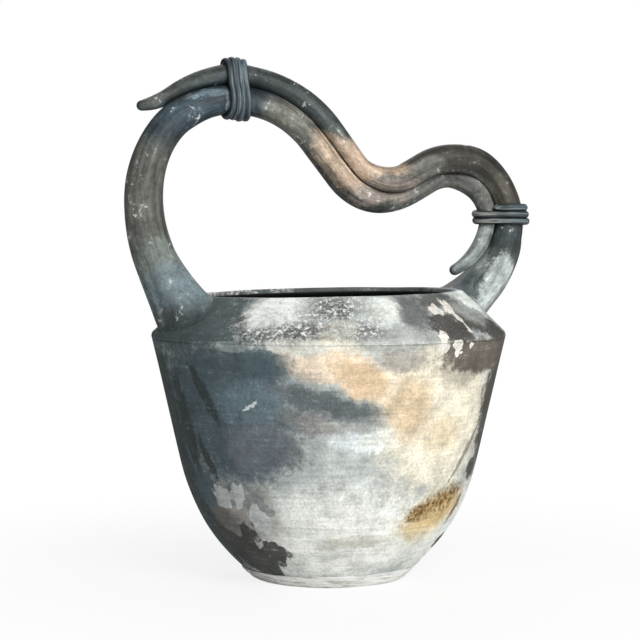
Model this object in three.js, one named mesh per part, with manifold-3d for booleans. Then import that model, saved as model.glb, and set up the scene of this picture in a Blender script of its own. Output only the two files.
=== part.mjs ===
// A hand-built, smoke-fired clay vase whose handle is two vines laid side by side and lashed twice.
// Sizes are in millimetres and degrees, +Z is up, and the handle lies in the XZ plane, left to right.
// The origin is the middle of the flat that the vase stands on.
import * as THREE from 'three';
import { mergeVertices } from 'three/addons/utils/BufferGeometryUtils.js';
import Module from 'manifold-3d';

const wasm = await Module();
wasm.setup();

// Joints: the film of slip left between neighbouring pieces
const slipGap = 0.3;

// Base slab
const slabRadius = 66;
const slabThickness = 8;
const slabEdgeRound = 5;

// Bowl wall: a straight leaning wall above the break, an arc below it down to the slab
const jointRadius = 135;
const jointHeight = 183;
const wallLean = 13;
const wallBreakHeight = 86;
const wallThickness = 6;

// Shoulder: from the scored joint over a rounded corner and up the slope to the lip
const cornerRise = 4;
const cornerRound = 6;
const shoulderHeight = 34.7;
const lipRadius = 101.8;
const lipRound = 1.8;
const shoulderThickness = 5;

// Seam between the vines: big arch, straight slope, valley, straight rise, small arch
const bigArchX = -76.4;
const bigArchRise = 65.4;
const bigArchRadius = 90.9;
const seamStartAngle = 121;
const slopeAngle = 39.6;
const slopeRun = 39.6;
const valleyRadius = 41.3;
const valleySweep = 77.4;
const riseRun = 16;
const smallArchRadius = 37.5;
const smallArchSweep = 150;
const twistAngle = 40;
const twistEndAngle = 40;

// Both roots stand at this share of the shoulder's slope, measured from the lip
const rootShare = 0.36;

// Left vine, from its root to its tail on the right
const leftLean = 27.5;
const leftRootRun = 35;
const leftRootPull = 64;
const leftJoinPull = 21;
const leftJoinAngle = 119;
const leftRootDiameter = 35;
const leftKneeDiameter = 34.2;
const leftGripDiameter = 27.4;
const leftArchDiameter = 25.2;
const leftNeckDiameter = 21.4;
const leftSlopeDiameter = 20.8;
const leftValleyDiameter = 20.6;
const leftCrownDiameter = 16.6;
const leftLashedDiameter = 15.6;
const leftPartingDiameter = 12.6;
const leftTailDiameter = 8.6;
const leftTailRun = 32;
const leftTailCurl = 25;

// Right vine, from its root to its tail on the left
const rightLean = 40;
const rightRootRun = 24;
const rightRootPull = 27;
const rightJoinPull = 6;
const rightRootDiameter = 31.6;
const rightKneeDiameter = 30.4;
const rightGripDiameter = 25.4;
const rightJoinDiameter = 22;
const rightCrownDiameter = 20.8;
const rightValleyDiameter = 15.6;
const rightSlopeDiameter = 16;
const rightLashedDiameter = 14.8;
const rightPartingDiameter = 11.4;
const rightTailDiameter = 7.6;
const rightTailRun = 18;
const rightTailCurl = 21;

// Clay pressed round each root
const filletWidth = 3.2;
const filletHeight = 14;
const filletLip = 0.9;

// Lashings: clay cord wound round both vines
const leftCord = 4;
const leftTurns = 4;
const leftLashingAngle = 88;
const rightCord = 4.9;
const rightTurns = 2.5;
const rightLashingAngle = 3;
const turnGap = 0.48;

// Facets
const roundSides = 64;
const vineSides = 12;
const vineStep = 7;
const filletSides = 28;
const turnSteps = 24;
const cordSides = 6;

const radians = THREE.MathUtils.degToRad;
const frontToBack = new THREE.Vector3(0, 1, 0);

const rimHeight = jointHeight + shoulderHeight;
const bowlFoot = slabThickness + slipGap;
const shoulderFoot = jointHeight + slipGap;

// A unit direction in the plane of a profile or of the handle
function heading(angle) {
  return new THREE.Vector2(Math.cos(angle), Math.sin(angle));
}

// Places a handle point, drawn flat, in the XZ plane
function inHandlePlane(flat, depth = 0) {
  return new THREE.Vector3(flat.x, depth, flat.y);
}

// Points of an arc, both ends included
function arcPoints(centre, radius, from, to, steps) {
  const points = [];
  for (let i = 0; i <= steps; i += 1) {
    const angle = THREE.MathUtils.lerp(from, to, i / steps);
    points.push(heading(angle).multiplyScalar(radius).add(centre));
  }
  return points;
}

// Points that round the corner between two straight edges
function roundedCorner(before, corner, after, radius, steps) {
  const back = before.clone().sub(corner).normalize();
  const on = after.clone().sub(corner).normalize();
  const halfAngle = Math.acos(back.dot(on)) / 2;
  const middle = back.clone().add(on).normalize();
  const centre = middle.multiplyScalar(radius / Math.sin(halfAngle)).add(corner);
  const start = back.multiplyScalar(radius / Math.tan(halfAngle)).add(corner).sub(centre);
  const end = on.multiplyScalar(radius / Math.tan(halfAngle)).add(corner).sub(centre);
  const turn = Math.atan2(start.cross(end), start.dot(end));
  const from = Math.atan2(start.y, start.x);
  return arcPoints(centre, radius, from, from + turn, steps);
}

// Turns a profile of radius and height round the Z axis
function turned(profile, sides = roundSides) {
  return new THREE.LatheGeometry(profile, sides).rotateX(Math.PI / 2);
}

// A closed ring's profile ends where it began
function turnedRing(profile) {
  return turned([...profile, profile[0].clone()]);
}

// A closed solid for cutting, from a geometry with shared vertices merged
function solidOf(geometry) {
  const bare = geometry.clone();
  bare.deleteAttribute('normal');
  bare.deleteAttribute('uv');
  const merged = mergeVertices(bare);
  const index = merged.index.array;
  const kept = [];
  for (let i = 0; i < index.length; i += 3) {
    const [a, b, c] = index.slice(i, i + 3);
    if (a !== b && b !== c && c !== a) {
      kept.push(a, b, c);
    }
  }
  const mesh = new wasm.Mesh({
    numProp: 3,
    vertProperties: merged.attributes.position.array,
    triVerts: new Uint32Array(kept),
  });
  return new wasm.Manifold(mesh);
}

// The geometry of a cut solid
function geometryOf(solid) {
  const mesh = solid.getMesh();
  const geometry = new THREE.BufferGeometry();
  geometry.setAttribute('position', new THREE.BufferAttribute(mesh.vertProperties, 3));
  geometry.setIndex(new THREE.BufferAttribute(mesh.triVerts, 1));
  geometry.computeVertexNormals();
  return geometry;
}

// A closed tube through rings of a centre and a radius, with flat ends
function tubeThrough(rings, sides, reference) {
  const positions = [];
  const index = [];
  const last = rings.length - 1;
  rings.forEach((ring, i) => {
    const before = rings[Math.max(i - 1, 0)].centre;
    const after = rings[Math.min(i + 1, last)].centre;
    const along = after.clone().sub(before).normalize();
    const across = reference.clone().addScaledVector(along, -reference.dot(along)).normalize();
    const out = across.clone().cross(along);
    for (let side = 0; side < sides; side += 1) {
      const angle = (2 * Math.PI * side) / sides;
      const point = ring.centre.clone();
      point.addScaledVector(out, ring.radius * Math.cos(angle));
      point.addScaledVector(across, ring.radius * Math.sin(angle));
      positions.push(...point.toArray());
    }
  });
  for (let i = 0; i < last; i += 1) {
    for (let side = 0; side < sides; side += 1) {
      const next = (side + 1) % sides;
      const here = i * sides;
      const there = here + sides;
      index.push(here + side, here + next, there + side);
      index.push(here + next, there + next, there + side);
    }
  }
  for (let side = 1; side < sides - 1; side += 1) {
    const end = last * sides;
    index.push(0, side + 1, side);
    index.push(end, end + side, end + side + 1);
  }
  const geometry = new THREE.BufferGeometry();
  geometry.setAttribute('position', new THREE.Float32BufferAttribute(positions, 3));
  geometry.setIndex(index);
  geometry.computeVertexNormals();
  return geometry;
}

// The same rings with more clay all round
function grown(rings, margin) {
  return rings.map((ring) => ({ centre: ring.centre, radius: ring.radius + margin }));
}

// A radius that runs straight from one stated diameter to the next along a route
function taper(stations) {
  return (place) => {
    const later = stations.findIndex((station) => station.place >= place);
    if (later === 0) {
      return stations[0].diameter / 2;
    }
    if (later < 0) {
      return stations[stations.length - 1].diameter / 2;
    }
    const from = stations[later - 1];
    const to = stations[later];
    const share = (place - from.place) / (to.place - from.place);
    return THREE.MathUtils.lerp(from.diameter, to.diameter, share) / 2;
  };
}

// Base slab: flat below and above, with a rounded outer edge
function makeBaseSlab() {
  const edgeSteps = 4;
  const restRadius = slabRadius - slabEdgeRound;
  const edgeCentre = new THREE.Vector2(restRadius, slabEdgeRound);
  return turned([
    new THREE.Vector2(0, 0),
    ...arcPoints(edgeCentre, slabEdgeRound, -Math.PI / 2, 0, edgeSteps),
    new THREE.Vector2(slabRadius, slabThickness),
    new THREE.Vector2(0, slabThickness),
  ]);
}

// Bowl wall: its outer arc is tangent to the straight wall and ends at the slab's edge
const wallUp = new THREE.Vector2(Math.sin(radians(wallLean)), Math.cos(radians(wallLean)));
const wallIn = new THREE.Vector2(-wallUp.y, wallUp.x);
const wallTop = new THREE.Vector2(jointRadius, jointHeight);

function onWall(height) {
  return wallTop.clone().addScaledVector(wallUp, (height - jointHeight) / wallUp.y);
}

function makeBowlWall() {
  const arcSteps = 6;
  const wallBreak = onWall(wallBreakHeight);
  const foot = new THREE.Vector2(slabRadius, bowlFoot);
  const rise = wallBreak.clone().sub(foot);
  const arcRadius = -rise.lengthSq() / (2 * rise.dot(wallIn));
  const centre = wallBreak.clone().addScaledVector(wallIn, arcRadius);
  const innerRadius = arcRadius - wallThickness;
  const breakAngle = Math.atan2(-wallIn.y, -wallIn.x);
  const footAngle = Math.atan2(foot.y - centre.y, foot.x - centre.x);
  const innerFootAngle = Math.asin((bowlFoot - centre.y) / innerRadius);
  const innerTop = wallTop.clone();
  innerTop.x -= wallThickness / wallUp.y;
  return turnedRing([
    ...arcPoints(centre, arcRadius, footAngle, breakAngle, arcSteps),
    wallTop,
    innerTop,
    ...arcPoints(centre, innerRadius, breakAngle, innerFootAngle, arcSteps),
  ]);
}

// Shoulder: the corner continues the wall's line, and the inside follows the outside
const corner = onWall(jointHeight + cornerRise);
const lipEdge = new THREE.Vector2(lipRadius, rimHeight);
const lipInside = new THREE.Vector2(lipRadius - shoulderThickness, rimHeight);
const lipSteps = 2;

function shoulderOutside(foot) {
  const cornerSteps = 4;
  return [
    foot,
    ...roundedCorner(foot, corner, lipEdge, cornerRound, cornerSteps),
    ...roundedCorner(corner, lipEdge, lipInside, lipRound, lipSteps),
  ];
}

function makeShoulder() {
  const slope = lipEdge.clone().sub(corner).normalize();
  const slopeTop = lipInside.clone();
  slopeTop.y -= shoulderThickness / 2;
  const foot = onWall(shoulderFoot);
  const innerFoot = foot.clone();
  innerFoot.x -= wallThickness / wallUp.y;
  const innerBend = innerFoot.clone();
  innerBend.y = Math.max(corner.y + slope.x * shoulderThickness, shoulderFoot + slipGap);
  return turnedRing([
    ...shoulderOutside(foot),
    ...roundedCorner(lipEdge, lipInside, slopeTop, lipRound, lipSteps),
    slopeTop,
    innerBend,
    innerFoot,
  ]);
}

// Everything inside the vessel's outer skin and a film of slip, with the mouth filled level
function makeKeepOut() {
  const outside = shoulderOutside(onWall(jointHeight - shoulderHeight));
  const skin = outside.map((point, i) => {
    const before = outside[Math.max(i - 1, 0)];
    const after = outside[Math.min(i + 1, outside.length - 1)];
    const along = after.clone().sub(before).normalize();
    return new THREE.Vector2(point.x + along.y * slipGap, point.y - along.x * slipGap);
  });
  const top = skin[skin.length - 1].y;
  const bottom = skin[0].y;
  return solidOf(turned([new THREE.Vector2(0, bottom), ...skin, new THREE.Vector2(0, top)]));
}

// Seam: each stretch starts where the last one ended, in the same direction
const bigArchCentre = new THREE.Vector2(bigArchX, rimHeight + bigArchRise);
const slopeStart = heading(radians(slopeAngle)).multiplyScalar(bigArchRadius).add(bigArchCentre);
const slopeHeading = heading(radians(slopeAngle - 90));
const valleyStart = slopeStart.clone().addScaledVector(slopeHeading, slopeRun);
const valleyCentre = valleyStart.clone().addScaledVector(heading(radians(slopeAngle)), valleyRadius);
const valleyEndAngle = slopeAngle - 180 + valleySweep;
const riseStart = heading(radians(valleyEndAngle)).multiplyScalar(valleyRadius).add(valleyCentre);
const riseHeading = heading(radians(valleyEndAngle + 90));
const smallArchStart = riseStart.clone().addScaledVector(riseHeading, riseRun);
const smallArchCentre = smallArchStart.clone();
smallArchCentre.addScaledVector(heading(radians(valleyEndAngle)), smallArchRadius);
const smallArchStartAngle = valleyEndAngle + 180;
const smallArchEndAngle = smallArchStartAngle - smallArchSweep;

const seam = new THREE.Path();
seam.absarc(...bigArchCentre, bigArchRadius, radians(seamStartAngle), radians(slopeAngle), true);
seam.absarc(...valleyCentre, valleyRadius, radians(slopeAngle - 180), radians(valleyEndAngle), false);
seam.absarc(
  ...smallArchCentre, smallArchRadius, radians(smallArchStartAngle), radians(smallArchEndAngle), true,
);

// Lengths along the seam at which its stretches begin
const seamLength = seam.getLength();
const slopeAt = radians(seamStartAngle - slopeAngle) * bigArchRadius;
const valleyAt = slopeAt + slopeRun;
const riseAt = valleyAt + radians(valleySweep) * valleyRadius;
const smallArchAt = riseAt + riseRun;

function onBigArch(angle) {
  return radians(seamStartAngle - angle) * bigArchRadius;
}

function onSmallArch(angle) {
  return smallArchAt + radians(smallArchStartAngle - angle) * smallArchRadius;
}

// Lashings: how far each reaches along the seam, and where the right vine leaves the seam below it
const leftPitch = leftCord + turnGap;
const rightPitch = rightCord + turnGap;
const rightLashingReach = (rightTurns * rightPitch) / 2 + rightCord;
const leftLashingAt = onBigArch(leftLashingAngle);
const rightLashingAt = onSmallArch(rightLashingAngle);
const leftJoinAt = onBigArch(leftJoinAngle);
const rightJoinAt = rightLashingAt + rightLashingReach;

// Radius of each vine along the seam
const leftRadiusAt = taper([
  { place: leftJoinAt, diameter: leftArchDiameter },
  { place: leftLashingAt, diameter: leftNeckDiameter },
  { place: slopeAt, diameter: leftSlopeDiameter },
  { place: valleyAt, diameter: leftValleyDiameter },
  { place: smallArchAt, diameter: leftCrownDiameter },
  { place: rightLashingAt, diameter: leftLashedDiameter },
  { place: seamLength, diameter: leftPartingDiameter },
]);
const rightRadiusAt = taper([
  { place: 0, diameter: rightPartingDiameter },
  { place: leftLashingAt, diameter: rightLashedDiameter },
  { place: slopeAt, diameter: rightSlopeDiameter },
  { place: valleyAt, diameter: rightValleyDiameter },
  { place: smallArchAt, diameter: rightCrownDiameter },
  { place: rightJoinAt, diameter: rightJoinDiameter },
]);

// The vines twist as they cross the valley, the right one coming forward, and untwist past the crown
const crownAt = onSmallArch(90);
const twistEnd = onSmallArch(twistEndAngle);

function twistAt(place) {
  const twisted = THREE.MathUtils.smoothstep(place, valleyAt, riseAt);
  const untwisted = THREE.MathUtils.smoothstep(place, crownAt, twistEnd);
  return radians(twistAngle) * twisted * (1 - untwisted);
}

// A ring of a vine that lies on the seam: side is 1 above it for the right vine, -1 below for the left
function seamRing(place, side, radius) {
  const share = place / seamLength;
  const along = seam.getTangentAt(share);
  const away = new THREE.Vector2(-along.y, along.x);
  const twist = twistAt(place);
  const reach = side * (radius + slipGap / 2);
  const flat = seam.getPointAt(share).addScaledVector(away, reach * Math.cos(twist));
  return { centre: inHandlePlane(flat, -reach * Math.sin(twist)), radius };
}

function seamRings(from, to, side, radiusAt) {
  const steps = Math.ceil(Math.abs(to - from) / vineStep);
  const rings = [];
  for (let i = 0; i <= steps; i += 1) {
    const place = THREE.MathUtils.lerp(from, to, i / steps);
    rings.push(seamRing(place, side, radiusAt(place)));
  }
  return rings;
}

// The free run of a vine from inside the shoulder to where it joins the seam
function freeRun(run) {
  const root = lipEdge.clone().lerp(corner, rootShare);
  root.x *= run.side;
  const up = new THREE.Vector2(run.side * Math.sin(radians(run.lean)), Math.cos(radians(run.lean)));
  const sink = run.rootDiameter / 2;
  const buried = root.clone().addScaledVector(up, -sink);
  const knee = root.clone().addScaledVector(up, run.rootRun);
  const join = new THREE.Vector2(run.join.centre.x, run.join.centre.z);
  const bend = new THREE.CubicBezierCurve(
    knee,
    knee.clone().addScaledVector(up, run.rootPull),
    join.clone().addScaledVector(run.joinHeading, -run.joinPull),
    join,
  );
  const bendLength = bend.getLength();
  const radiusAt = taper([
    { place: -run.rootRun, diameter: run.rootDiameter },
    { place: 0, diameter: run.kneeDiameter },
    { place: bendLength / 2, diameter: run.gripDiameter },
    { place: bendLength, diameter: run.join.radius * 2 },
  ]);
  const rings = [{ centre: inHandlePlane(buried), radius: run.rootDiameter / 2 }];
  const rootSteps = Math.ceil(run.rootRun / vineStep);
  for (let i = 0; i < rootSteps; i += 1) {
    const place = run.rootRun * (i / rootSteps - 1);
    const flat = knee.clone().addScaledVector(up, place);
    rings.push({ centre: inHandlePlane(flat), radius: radiusAt(place) });
  }
  const bendSteps = Math.ceil(bendLength / vineStep);
  for (let i = 0; i < bendSteps; i += 1) {
    const share = i / bendSteps;
    rings.push({ centre: inHandlePlane(bend.getPointAt(share)), radius: radiusAt(share * bendLength) });
  }
  return { rings, root, up };
}

// A free tail: it curls up out of the seam's line and ends in a rounded tip
function tailRings(start, startHeading, run, curl, tipRadius) {
  const tailSteps = Math.ceil(run / vineStep);
  const tipSteps = 3;
  const tipStretch = 1.2;
  const rings = [];
  const point = new THREE.Vector2(start.centre.x, start.centre.z);
  for (let i = 1; i <= tailSteps; i += 1) {
    const turn = radians(curl) * ((i - 0.5) / tailSteps);
    const step = startHeading.clone().rotateAround(new THREE.Vector2(), -turn);
    point.addScaledVector(step, run / tailSteps);
    const radius = THREE.MathUtils.lerp(start.radius, tipRadius, i / tailSteps);
    rings.push({ centre: inHandlePlane(point, start.centre.y), radius });
  }
  const end = startHeading.clone().rotateAround(new THREE.Vector2(), -radians(curl));
  for (let i = 1; i <= tipSteps; i += 1) {
    const angle = (Math.PI / 2) * (i / (tipSteps + 0.5));
    const flat = point.clone().addScaledVector(end, tipRadius * tipStretch * Math.sin(angle));
    rings.push({ centre: inHandlePlane(flat, start.centre.y), radius: tipRadius * Math.cos(angle) });
  }
  return rings;
}

// Rings of the left vine: up from its root, under the seam, then its tail
const leftJoin = seamRing(leftJoinAt, -1, leftRadiusAt(leftJoinAt));
const leftFree = freeRun({
  side: -1,
  lean: leftLean,
  rootRun: leftRootRun,
  rootPull: leftRootPull,
  joinPull: leftJoinPull,
  rootDiameter: leftRootDiameter,
  kneeDiameter: leftKneeDiameter,
  gripDiameter: leftGripDiameter,
  join: leftJoin,
  joinHeading: seam.getTangentAt(leftJoinAt / seamLength),
});
const leftOnSeam = seamRings(leftJoinAt, seamLength, -1, leftRadiusAt);
const leftRings = [
  ...leftFree.rings,
  ...leftOnSeam,
  ...tailRings(
    leftOnSeam.at(-1), seam.getTangentAt(1), leftTailRun, leftTailCurl, leftTailDiameter / 2,
  ),
];

// Rings of the right vine: up from its root, back over the seam, then its tail
const rightJoin = seamRing(rightJoinAt, 1, rightRadiusAt(rightJoinAt));
const rightFree = freeRun({
  side: 1,
  lean: rightLean,
  rootRun: rightRootRun,
  rootPull: rightRootPull,
  joinPull: rightJoinPull,
  rootDiameter: rightRootDiameter,
  kneeDiameter: rightKneeDiameter,
  gripDiameter: rightGripDiameter,
  join: rightJoin,
  joinHeading: seam.getTangentAt(rightJoinAt / seamLength).negate(),
});
const rightOnSeam = seamRings(rightJoinAt, 0, 1, rightRadiusAt);
const rightTailHeading = seam.getTangentAt(0).negate();
const rightRings = [
  ...rightFree.rings,
  ...rightOnSeam,
  ...tailRings(
    rightOnSeam.at(-1), rightTailHeading, rightTailRun, rightTailCurl, rightTailDiameter / 2,
  ),
];

// Vines: cut to the shoulder, and the right one also where the left one's tail presses on it
const keepOut = makeKeepOut();
const leftTube = solidOf(tubeThrough(leftRings, vineSides, frontToBack));
const rightTube = solidOf(tubeThrough(rightRings, vineSides, frontToBack));
const leftRoom = solidOf(tubeThrough(grown(leftRings, slipGap), vineSides, frontToBack));
const rightRoom = solidOf(tubeThrough(grown(rightRings, slipGap), vineSides, frontToBack));
const leftVine = leftTube.subtract(keepOut);
const rightVine = rightTube.subtract(keepOut).subtract(leftRoom);

// Root fillet: a flared collar of clay round a vine, open on the side of the mouth
function makeRootFillet(free, rootDiameter, vineRoom) {
  const flareSteps = 5;
  const inside = rootDiameter / 2 + slipGap + filletLip;
  const sink = rootDiameter / 2;
  const profile = [new THREE.Vector2(0, -sink), new THREE.Vector2(inside + filletWidth, -sink)];
  for (let i = 0; i <= flareSteps; i += 1) {
    const share = i / flareSteps;
    profile.push(new THREE.Vector2(inside + filletWidth * (1 - share) ** 2, filletHeight * share));
  }
  profile.push(new THREE.Vector2(0, filletHeight));
  const flare = turned(profile, filletSides);
  flare.rotateY(Math.atan2(free.up.x, free.up.y));
  flare.translate(free.root.x, 0, free.root.y);
  const mouthReach = lipRadius + filletWidth;
  const mouthBottom = rimHeight - shoulderHeight;
  const mouthTop = rimHeight + filletHeight + rootDiameter;
  const mouth = turned([
    new THREE.Vector2(0, mouthBottom),
    new THREE.Vector2(mouthReach, mouthBottom),
    new THREE.Vector2(mouthReach, mouthTop),
    new THREE.Vector2(0, mouthTop),
  ]);
  return solidOf(flare).subtract(vineRoom).subtract(keepOut).subtract(solidOf(mouth));
}

// The loop that a cord makes round both vines, seen along the seam, from the middle of its front
function cordLoop(lower, upper) {
  const apart = upper.place - lower.place;
  const touch = Math.acos((lower.radius - upper.radius) / apart);
  const lowerTouch = heading(-touch).multiplyScalar(lower.radius);
  const upperTouch = heading(-touch).multiplyScalar(upper.radius);
  lowerTouch.x += lower.place;
  upperTouch.x += upper.place;
  const frontMiddle = lowerTouch.clone().lerp(upperTouch, 0.5);
  const loop = new THREE.Path();
  loop.moveTo(frontMiddle.x, frontMiddle.y);
  loop.absarc(upper.place, 0, upper.radius, -touch, touch, false);
  loop.absarc(lower.place, 0, lower.radius, touch, 2 * Math.PI - touch, false);
  loop.lineTo(frontMiddle.x, frontMiddle.y);
  return loop;
}

// A vine's section, as a circle, where a flat cut passes it at a distance from the lashing's middle
function sectionAt(archRadius, side, radius, offset) {
  const middle = archRadius + side * (radius + slipGap / 2);
  const nearest = Math.sqrt((middle - radius) ** 2 - offset ** 2);
  const farthest = Math.sqrt((middle + radius) ** 2 - offset ** 2);
  return { place: (nearest + farthest) / 2, radius: (farthest - nearest) / 2 };
}

// The middle line of a lashing: loops that climb by one pitch a turn, with a straight end at each side
function lashingLine(lashing, stepsPerTurn) {
  const angle = radians(lashing.angle);
  const outward = inHandlePlane(heading(angle));
  const along = inHandlePlane(heading(angle - Math.PI / 2));
  const origin = inHandlePlane(lashing.archCentre);
  const steps = Math.ceil(lashing.turns * stepsPerTurn);
  const cover = lashing.cord / 2 + slipGap;
  const points = [];
  for (let i = 0; i <= steps; i += 1) {
    const turn = (lashing.turns * i) / steps;
    const offset = (turn - lashing.turns / 2) * lashing.pitch;
    const place = lashing.place + offset;
    const lower = sectionAt(lashing.archRadius, -1, leftRadiusAt(place), offset);
    const upper = sectionAt(lashing.archRadius, 1, rightRadiusAt(place), offset);
    lower.radius += cover;
    upper.radius += cover;
    const share = (turn + lashing.startTurn) % 1;
    const flat = cordLoop(lower, upper).getPointAt(share);
    const point = origin.clone().addScaledVector(outward, flat.x).addScaledVector(along, offset);
    points.push(point.addScaledVector(frontToBack, flat.y));
  }
  const firstStep = points[0].clone().sub(points[1]).setLength(lashing.cord);
  const lastStep = points.at(-1).clone().sub(points.at(-2)).setLength(lashing.cord);
  return {
    points: [points[0].clone().add(firstStep), ...points, points.at(-1).clone().add(lastStep)],
    along,
  };
}

// The least gap between stretches of a cord that lie half a turn or more apart
function leastSelfGap(points, stepsPerTurn, cord) {
  let least = Infinity;
  for (let i = 0; i < points.length; i += 1) {
    for (let j = i + stepsPerTurn / 2; j < points.length; j += 1) {
      least = Math.min(least, points[i].distanceTo(points[j]));
    }
  }
  return least - cord;
}

function makeLashing(lashing) {
  const measuredSteps = 10 * turnSteps;
  const measured = lashingLine(lashing, measuredSteps);
  const gap = leastSelfGap(measured.points, measuredSteps, lashing.cord);
  console.log(`${lashing.name}: least gap to itself ${gap.toFixed(2)} mm`);
  const line = lashingLine(lashing, turnSteps);
  const rings = line.points.map((centre) => ({ centre, radius: lashing.cord / 2 }));
  return tubeThrough(rings, cordSides, line.along);
}

const leftLashing = makeLashing({
  name: 'left_lashing',
  archCentre: bigArchCentre,
  archRadius: bigArchRadius,
  angle: leftLashingAngle,
  place: leftLashingAt,
  cord: leftCord,
  pitch: leftPitch,
  turns: leftTurns,
  startTurn: 0.5,
});
const rightLashing = makeLashing({
  name: 'right_lashing',
  archCentre: smallArchCentre,
  archRadius: smallArchRadius,
  angle: rightLashingAngle,
  place: rightLashingAt,
  cord: rightCord,
  pitch: rightPitch,
  turns: rightTurns,
  startTurn: 0,
});

// Fired clay is matt to satin and carries no metal
function clay(colour, roughness) {
  return new THREE.MeshStandardMaterial({ color: colour, roughness, metalness: 0 });
}

const vase = new THREE.Group();

function addPiece(name, geometry, material) {
  const piece = new THREE.Mesh(geometry, material);
  piece.name = name;
  vase.add(piece);
}

const leftFillet = makeRootFillet(leftFree, leftRootDiameter, leftRoom);
const rightFillet = makeRootFillet(rightFree, rightRootDiameter, rightRoom);
addPiece('base_slab', makeBaseSlab(), clay('#b7bab3', 0.85));
addPiece('bowl_wall', makeBowlWall(), clay('#8d8a84', 0.6));
addPiece('shoulder', makeShoulder(), clay('#7d7d79', 0.6));
addPiece('left_vine', geometryOf(leftVine), clay('#4c5351', 0.5));
addPiece('right_vine', geometryOf(rightVine), clay('#5a5750', 0.5));
addPiece('left_root_fillet', geometryOf(leftFillet), clay('#56605f', 0.55));
addPiece('right_root_fillet', geometryOf(rightFillet), clay('#8f9390', 0.6));
addPiece('left_lashing', leftLashing, clay('#2e3336', 0.45));
addPiece('right_lashing', rightLashing, clay('#383b3b', 0.45));

export default vase;
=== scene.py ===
# %% [markdown]
# # A smoke-fired clay vase
# This lesson dresses a hand-built vase: a burnished bowl, a sloping shoulder, and a handle of two clay
# vines that are lashed together. The construction already exists as plain solids at real size. Here every
# solid is replaced by a finer mesh of the same form, and gets the marks of fire and smoke. We start by
# loading the solids, because every new piece takes its place from them.

# %% Load the frame
import math

import bmesh
import bpy
from mathutils import Matrix, Vector, geometry, noise


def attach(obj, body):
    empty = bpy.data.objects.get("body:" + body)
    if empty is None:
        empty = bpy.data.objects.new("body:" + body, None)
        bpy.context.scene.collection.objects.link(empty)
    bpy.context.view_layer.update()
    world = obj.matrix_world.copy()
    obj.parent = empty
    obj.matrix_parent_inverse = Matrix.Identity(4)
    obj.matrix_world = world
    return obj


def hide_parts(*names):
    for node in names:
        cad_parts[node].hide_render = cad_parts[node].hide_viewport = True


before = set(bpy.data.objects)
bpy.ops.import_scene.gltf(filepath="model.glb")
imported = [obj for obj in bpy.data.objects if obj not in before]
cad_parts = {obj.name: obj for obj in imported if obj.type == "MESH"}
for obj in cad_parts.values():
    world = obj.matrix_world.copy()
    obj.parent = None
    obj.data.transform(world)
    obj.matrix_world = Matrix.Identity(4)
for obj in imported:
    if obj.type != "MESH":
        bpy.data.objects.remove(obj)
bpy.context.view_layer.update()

print("solids:", sorted(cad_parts))

# %% [markdown]
# ## The camera
# The picture was taken from about four heights away, in front of the handle and a little to its left,
# from just above the rim. A long lens keeps the perspective as mild as it was. The frame is square, so
# one focal length in pixels gives the lens. The horizon's row gives the tilt, and the axis's column gives
# the turn.

# %% Camera
view_azimuth = math.radians(-17)
view_distance = 1.5
eye_height = 0.272
frame_pixels = 640
focal_pixels = 1960
axis_column = 328.5
horizon_row = 221
sensor = 36


def put(name, data):
    """Make an object of some data and add it to the scene."""
    thing = bpy.data.objects.new(name, data)
    bpy.context.scene.collection.objects.link(thing)
    return thing


camera_data = bpy.data.cameras.new("camera")
camera_data.sensor_width = sensor
camera_data.lens = sensor * focal_pixels / frame_pixels
camera = put("camera", camera_data)
tilt_down = math.atan((frame_pixels / 2 - horizon_row) / focal_pixels)
turn_left = math.atan((axis_column - frame_pixels / 2) / focal_pixels)
camera.location = (
    view_distance * math.sin(view_azimuth),
    -view_distance * math.cos(view_azimuth),
    eye_height,
)
camera.rotation_euler = (math.pi / 2 - tilt_down, 0, view_azimuth + turn_left)
bpy.context.scene.camera = camera
print("lens:", round(camera_data.lens, 1), "mm")

# %% [markdown]
# ## Shader maths in Python
# Fire marks are sums and products of soft masks, and long chains of nodes are hard to read. A small class
# wraps a socket, so that a Python expression adds its Math nodes by itself; here | takes the larger and &
# the smaller of two values. Any other node comes from one method: its settings first, then the values or
# links of its sockets.

# %% Value and Finish
def sign(operation, turned=False):
    """A method for one of Python's signs, which adds a Math node."""
    def method(self, other):
        pair = (other, self) if turned else (self, other)
        return self.finish.add("Math", {"operation": operation}, dict(enumerate(pair)))

    return method


class Value:
    """A number or vector that varies over a surface; arithmetic on it adds Math nodes."""

    __add__ = __radd__ = sign("ADD")
    __mul__ = __rmul__ = sign("MULTIPLY")
    __or__ = __ror__ = sign("MAXIMUM")
    __and__ = __rand__ = sign("MINIMUM")
    __sub__ = sign("SUBTRACT")
    __rsub__ = sign("SUBTRACT", turned=True)

    def __init__(self, finish, socket):
        self.finish = finish
        self.socket = socket


class Finish:
    """A material or a world whose nodes are added one by one."""

    def __init__(self, owner):
        owner.use_nodes = True
        self.owner = owner
        self.tree = owner.node_tree
        self.tree.nodes.clear()

    def add(self, kind, settings=None, sockets=None, output=0):
        node = self.tree.nodes.new("ShaderNode" + kind)
        for name, setting in (settings or {}).items():
            setattr(node, name, setting)
        for name, given in (sockets or {}).items():
            if isinstance(given, Value):
                self.tree.links.new(given.socket, node.inputs[name])
            else:
                node.inputs[name].default_value = given
        return None if output is None else Value(self, node.outputs[output])

    def place(self):
        return self.add("TexCoord", output="Object")

    def surface(self, shader, output="OutputMaterial"):
        self.add(output, None, {"Surface": shader}, None)
        print(self.owner.name, "has", len(self.tree.nodes), "nodes")
        return self.owner


def vectors(operation, *given, output=0):
    """Vector Math on one to three vectors, of which the first varies over the surface."""
    sockets = dict(enumerate(given))
    return given[0].finish.add("VectorMath", {"operation": operation}, sockets, output)


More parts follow.
